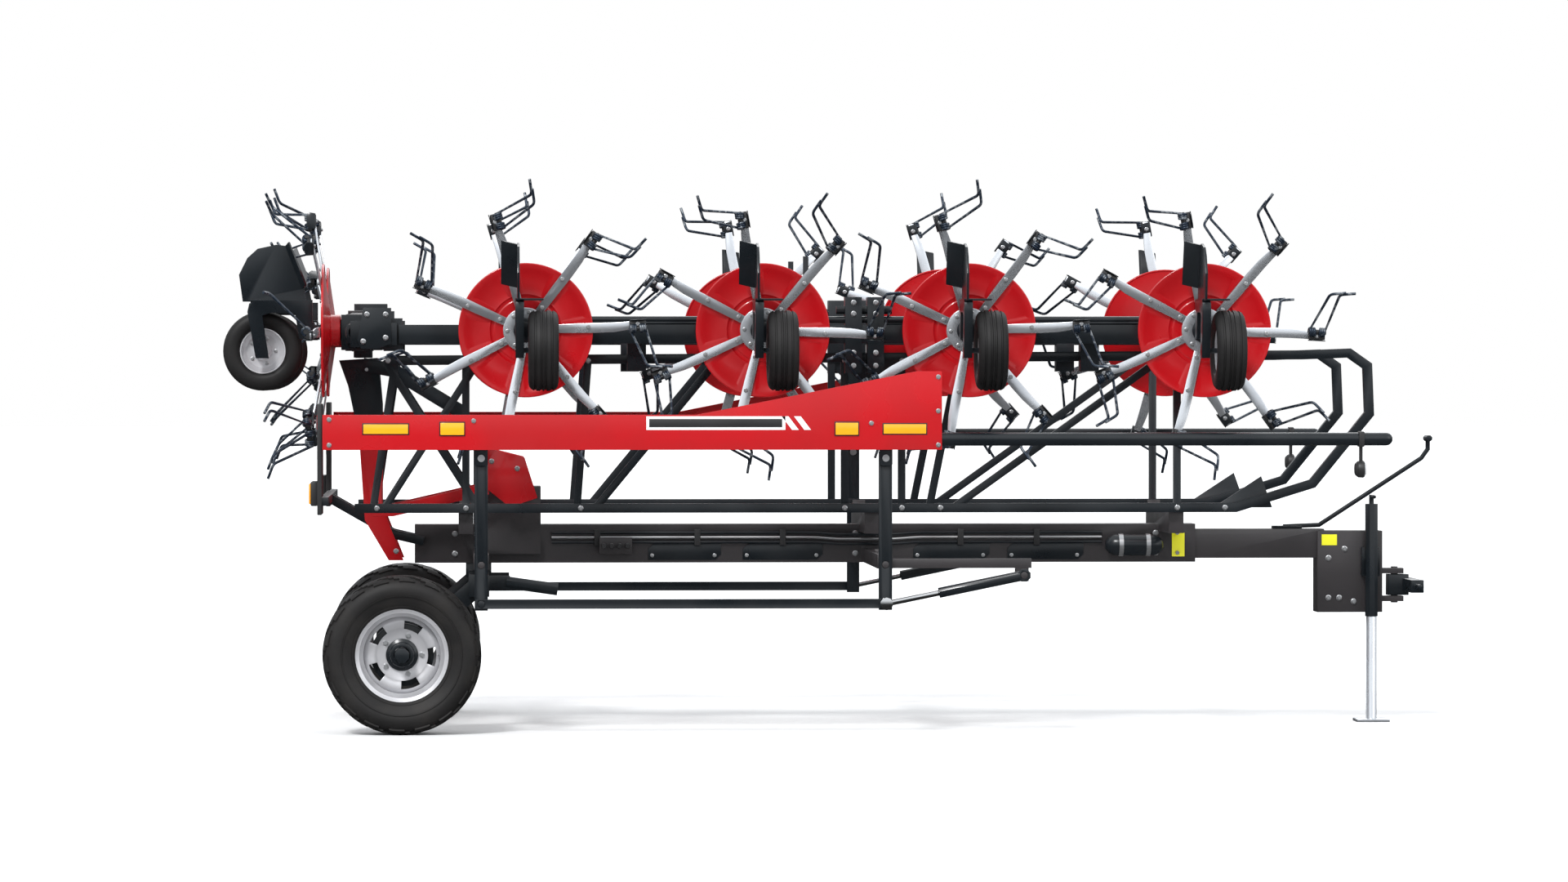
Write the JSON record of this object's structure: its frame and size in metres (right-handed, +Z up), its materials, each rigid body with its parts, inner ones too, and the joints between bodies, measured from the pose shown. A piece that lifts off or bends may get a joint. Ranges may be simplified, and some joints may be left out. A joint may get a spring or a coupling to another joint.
{
  "type": "hay tedder",
  "caption": "Trailed rotary hay tedder in its transport position: folded rotor wings on a cradle frame, road wheels, side guards, drawbar and parking jack.",
  "frame": {"origin": "on the floor under the middle of the machine's bounding box", "axes": "+X forward along the drawbar, +Y to the machine's left, +Z up"},
  "size_m": [6.6453, 2.9454, 2.9517],
  "materials": {
    "red_paint": "gloss red paint",
    "dark_paint": "satin black-grey paint",
    "zinc": "dull zinc",
    "tyre": "matte black rubber"
  },
  "bodies": {
    "frame": {"chassis_beam": "dark_paint", "axle_beam": "dark_paint", "cradle_frame_right": "dark_paint", "cradle_frame_left": "dark_paint", "wing_beam_right": "dark_paint", "wing_beam_left": "dark_paint", "centre_beam": "dark_paint", "lift_arms": "red_paint", "lighting_bar": "dark_paint", "jack_tube": "dark_paint", "hose_holder": "dark_paint"},
    "jack_leg": {"jack_leg": "zinc"},
    "headstock": {"headstock": "dark_paint"},
    "road_wheel_right": {"wheel_tyre_right": "tyre", "wheel_rim_right": "zinc"},
    "road_wheel_left": {"wheel_tyre_left": "tyre", "wheel_rim_left": "zinc"},
    "rotor_right_1": {"rotor_dish_right_1": "red_paint", "rotor_arms_right_1": "zinc"},
    "gauge_wheel_right_1": {"gauge_wheel_right_1": "tyre"},
    "rotor_right_2": {"rotor_dish_right_2": "red_paint", "rotor_arms_right_2": "zinc"},
    "gauge_wheel_right_2": {"gauge_wheel_right_2": "tyre"},
    "rotor_right_3": {"rotor_dish_right_3": "red_paint", "rotor_arms_right_3": "zinc"},
    "gauge_wheel_right_3": {"gauge_wheel_right_3": "tyre"},
    "rotor_right_4": {"rotor_dish_right_4": "red_paint", "rotor_arms_right_4": "zinc"},
    "gauge_wheel_right_4": {"gauge_wheel_right_4": "tyre"},
    "rotor_right_5": {"rotor_dish_right_5": "red_paint", "rotor_arms_right_5": "zinc"},
    "gauge_wheel_right_5": {"gauge_wheel_right_5": "tyre"},
    "rotor_left_1": {"rotor_dish_left_1": "red_paint", "rotor_arms_left_1": "zinc"},
    "gauge_wheel_left_1": {"gauge_wheel_left_1": "tyre"},
    "rotor_left_2": {"rotor_dish_left_2": "red_paint", "rotor_arms_left_2": "zinc"},
    "gauge_wheel_left_2": {"gauge_wheel_left_2": "tyre"},
    "rotor_left_3": {"rotor_dish_left_3": "red_paint", "rotor_arms_left_3": "zinc"},
    "gauge_wheel_left_3": {"gauge_wheel_left_3": "tyre"},
    "rotor_left_4": {"rotor_dish_left_4": "red_paint", "rotor_arms_left_4": "zinc"},
    "gauge_wheel_left_4": {"gauge_wheel_left_4": "tyre"},
    "rotor_left_5": {"rotor_dish_left_5": "red_paint", "rotor_arms_left_5": "zinc"},
    "gauge_wheel_left_5": {"gauge_wheel_left_5": "tyre"},
    "guard_post_front_right": {"guard_post_front_right": "dark_paint"},
    "guard_post_rear_right": {"guard_post_rear_right": "dark_paint"},
    "guard_link_right": {"guard_link_right": "dark_paint"},
    "guard_panel_right": {"guard_panel_right": "red_paint"},
    "guard_barrel_right": {"guard_barrel_right": "dark_paint"},
    "guard_rod_right": {"guard_rod_right": "zinc"},
    "guard_post_front_left": {"guard_post_front_left": "dark_paint"},
    "guard_post_rear_left": {"guard_post_rear_left": "dark_paint"},
    "guard_link_left": {"guard_link_left": "dark_paint"},
    "guard_panel_left": {"guard_panel_left": "red_paint"},
    "guard_barrel_left": {"guard_barrel_left": "dark_paint"},
    "guard_rod_left": {"guard_rod_left": "zinc"}
  },
  "joints": [
    {"name": "jack_slide", "type": "slide", "parent": "frame", "child": "jack_leg", "axis": [0, 0, 1], "range_m": [0, 0.45]},
    {"name": "headstock_swivel", "type": "hinge", "parent": "frame", "child": "headstock", "pos_m": [3.12, 0, 0.75], "axis": [0, 0, 1], "range_deg": [-35, 35]},
    {"name": "road_wheel_spin_right", "type": "hinge", "parent": "frame", "child": "road_wheel_right", "pos_m": [-2.36, -1.1, 0.422], "axis": [0, 1, 0], "continuous": true},
    {"name": "road_wheel_spin_left", "type": "hinge", "parent": "frame", "child": "road_wheel_left", "pos_m": [-2.36, 1.1, 0.422], "axis": [0, 1, 0], "continuous": true},
    {"name": "rotor_spin_right_1", "type": "hinge", "parent": "frame", "child": "rotor_right_1", "pos_m": [-2.74, -0.6, 2.15], "axis": [-1, 0, 0], "continuous": true},
    {"name": "gauge_wheel_spin_right_1", "type": "hinge", "parent": "frame", "child": "gauge_wheel_right_1", "pos_m": [-3.115, -0.51, 2.04], "axis": [0, 1, 0], "continuous": true},
    {"name": "rotor_spin_right_2", "type": "hinge", "parent": "frame", "child": "rotor_right_2", "pos_m": [-1.7, -0.89, 2.15], "axis": [0, -1, 0], "continuous": true},
    {"name": "gauge_wheel_spin_right_2", "type": "hinge", "parent": "frame", "child": "gauge_wheel_right_2", "pos_m": [-1.61, -1.265, 2.04], "axis": [1, 0, 0], "continuous": true},
    {"name": "rotor_spin_right_3", "type": "hinge", "parent": "frame", "child": "rotor_right_3", "pos_m": [-0.43, -0.89, 2.15], "axis": [0, -1, 0], "continuous": true},
    {"name": "gauge_wheel_spin_right_3", "type": "hinge", "parent": "frame", "child": "gauge_wheel_right_3", "pos_m": [-0.34, -1.265, 2.04], "axis": [1, 0, 0], "continuous": true},
    {"name": "rotor_spin_right_4", "type": "hinge", "parent": "frame", "child": "rotor_right_4", "pos_m": [0.68, -0.89, 2.15], "axis": [0, -1, 0], "continuous": true},
    {"name": "gauge_wheel_spin_right_4", "type": "hinge", "parent": "frame", "child": "gauge_wheel_right_4", "pos_m": [0.77, -1.265, 2.04], "axis": [1, 0, 0], "continuous": true},
    {"name": "rotor_spin_right_5", "type": "hinge", "parent": "frame", "child": "rotor_right_5", "pos_m": [1.95, -0.89, 2.15], "axis": [0, -1, 0], "continuous": true},
    {"name": "gauge_wheel_spin_right_5", "type": "hinge", "parent": "frame", "child": "gauge_wheel_right_5", "pos_m": [2.04, -1.265, 2.04], "axis": [1, 0, 0], "continuous": true},
    {"name": "rotor_spin_left_1", "type": "hinge", "parent": "frame", "child": "rotor_left_1", "pos_m": [-2.74, 0.6, 2.15], "axis": [1, 0, 0], "continuous": true},
    {"name": "gauge_wheel_spin_left_1", "type": "hinge", "parent": "frame", "child": "gauge_wheel_left_1", "pos_m": [-3.115, 0.51, 2.04], "axis": [0, 1, 0], "continuous": true},
    {"name": "rotor_spin_left_2", "type": "hinge", "parent": "frame", "child": "rotor_left_2", "pos_m": [-1.7, 0.89, 2.15], "axis": [0, -1, 0], "continuous": true},
    {"name": "gauge_wheel_spin_left_2", "type": "hinge", "parent": "frame", "child": "gauge_wheel_left_2", "pos_m": [-1.61, 1.265, 2.04], "axis": [1, 0, 0], "continuous": true},
    {"name": "rotor_spin_left_3", "type": "hinge", "parent": "frame", "child": "rotor_left_3", "pos_m": [-0.43, 0.89, 2.15], "axis": [0, -1, 0], "continuous": true},
    {"name": "gauge_wheel_spin_left_3", "type": "hinge", "parent": "frame", "child": "gauge_wheel_left_3", "pos_m": [-0.34, 1.265, 2.04], "axis": [1, 0, 0], "continuous": true},
    {"name": "rotor_spin_left_4", "type": "hinge", "parent": "frame", "child": "rotor_left_4", "pos_m": [0.68, 0.89, 2.15], "axis": [0, -1, 0], "continuous": true},
    {"name": "gauge_wheel_spin_left_4", "type": "hinge", "parent": "frame", "child": "gauge_wheel_left_4", "pos_m": [0.77, 1.265, 2.04], "axis": [1, 0, 0], "continuous": true},
    {"name": "rotor_spin_left_5", "type": "hinge", "parent": "frame", "child": "rotor_left_5", "pos_m": [1.95, 0.89, 2.15], "axis": [0, -1, 0], "continuous": true},
    {"name": "gauge_wheel_spin_left_5", "type": "hinge", "parent": "frame", "child": "gauge_wheel_left_5", "pos_m": [2.04, 1.265, 2.04], "axis": [1, 0, 0], "continuous": true},
    {"name": "guard_swing_right", "type": "hinge", "parent": "frame", "child": "guard_post_front_right", "pos_m": [0.2, -1.36, 0.905], "axis": [0, 1, 0], "range_deg": [0, 80]},
    {"name": "guard_rear_swing_right", "type": "hinge", "parent": "frame", "child": "guard_post_rear_right", "pos_m": [-1.94, -1.36, 0.905], "axis": [0, 1, 0], "range_deg": [0, 80]},
    {"name": "guard_panel_pivot_right", "type": "hinge", "parent": "guard_post_front_right", "child": "guard_panel_right", "pos_m": [0.2, -1.36, 1.47], "axis": [0, 1, 0], "range_deg": [-80, 0]},
    {"name": "guard_link_pivot_right", "type": "hinge", "parent": "guard_post_front_right", "child": "guard_link_right", "pos_m": [0.2, -1.36, 0.7], "axis": [0, 1, 0], "range_deg": [-80, 0]},
    {"name": "guard_ram_pivot_right", "type": "hinge", "parent": "frame", "child": "guard_barrel_right", "pos_m": [0.93, -1.442, 0.85], "axis": [0, 1, 0], "range_deg": [0, 12.85]},
    {"name": "guard_ram_slide_right", "type": "slide", "parent": "guard_barrel_right", "child": "guard_rod_right", "axis": [-0.9795, 0, -0.2013], "range_m": [0, 0.1873]},
    {"name": "guard_swing_left", "type": "hinge", "parent": "frame", "child": "guard_post_front_left", "pos_m": [0.2, 1.36, 0.905], "axis": [0, 1, 0], "range_deg": [0, 80]},
    {"name": "guard_rear_swing_left", "type": "hinge", "parent": "frame", "child": "guard_post_rear_left", "pos_m": [-1.94, 1.36, 0.905], "axis": [0, 1, 0], "range_deg": [0, 80]},
    {"name": "guard_panel_pivot_left", "type": "hinge", "parent": "guard_post_front_left", "child": "guard_panel_left", "pos_m": [0.2, 1.36, 1.47], "axis": [0, 1, 0], "range_deg": [-80, 0]},
    {"name": "guard_link_pivot_left", "type": "hinge", "parent": "guard_post_front_left", "child": "guard_link_left", "pos_m": [0.2, 1.36, 0.7], "axis": [0, 1, 0], "range_deg": [-80, 0]},
    {"name": "guard_ram_pivot_left", "type": "hinge", "parent": "frame", "child": "guard_barrel_left", "pos_m": [0.93, 1.442, 0.85], "axis": [0, 1, 0], "range_deg": [0, 12.85]},
    {"name": "guard_ram_slide_left", "type": "slide", "parent": "guard_barrel_left", "child": "guard_rod_left", "axis": [-0.9795, 0, -0.2013], "range_m": [0, 0.1873]}
  ],
  "couplings": [
    {"joint": "rotor_spin_right_2", "follows": "rotor_spin_right_1", "ratio": -1},
    {"joint": "rotor_spin_right_3", "follows": "rotor_spin_right_1", "ratio": 1},
    {"joint": "rotor_spin_right_4", "follows": "rotor_spin_right_1", "ratio": -1},
    {"joint": "rotor_spin_right_5", "follows": "rotor_spin_right_1", "ratio": 1},
    {"joint": "rotor_spin_left_1", "follows": "rotor_spin_right_1", "ratio": 1},
    {"joint": "rotor_spin_left_2", "follows": "rotor_spin_right_1", "ratio": -1},
    {"joint": "rotor_spin_left_3", "follows": "rotor_spin_right_1", "ratio": 1},
    {"joint": "rotor_spin_left_4", "follows": "rotor_spin_right_1", "ratio": -1},
    {"joint": "rotor_spin_left_5", "follows": "rotor_spin_right_1", "ratio": 1},
    {"joint": "guard_rear_swing_right", "follows": "guard_swing_right", "ratio": 1},
    {"joint": "guard_panel_pivot_right", "follows": "guard_swing_right", "ratio": -1},
    {"joint": "guard_link_pivot_right", "follows": "guard_swing_right", "ratio": -1},
    {"joint": "guard_ram_pivot_right", "follows": "guard_swing_right", "ratio": 0.16005},
    {"joint": "guard_ram_slide_right", "follows": "guard_swing_right", "m_per_rad": 0.13381},
    {"joint": "guard_rear_swing_left", "follows": "guard_swing_left", "ratio": 1},
    {"joint": "guard_panel_pivot_left", "follows": "guard_swing_left", "ratio": -1},
    {"joint": "guard_link_pivot_left", "follows": "guard_swing_left", "ratio": -1},
    {"joint": "guard_ram_pivot_left", "follows": "guard_swing_left", "ratio": 0.16005},
    {"joint": "guard_ram_slide_left", "follows": "guard_swing_left", "m_per_rad": 0.13381}
  ]
}
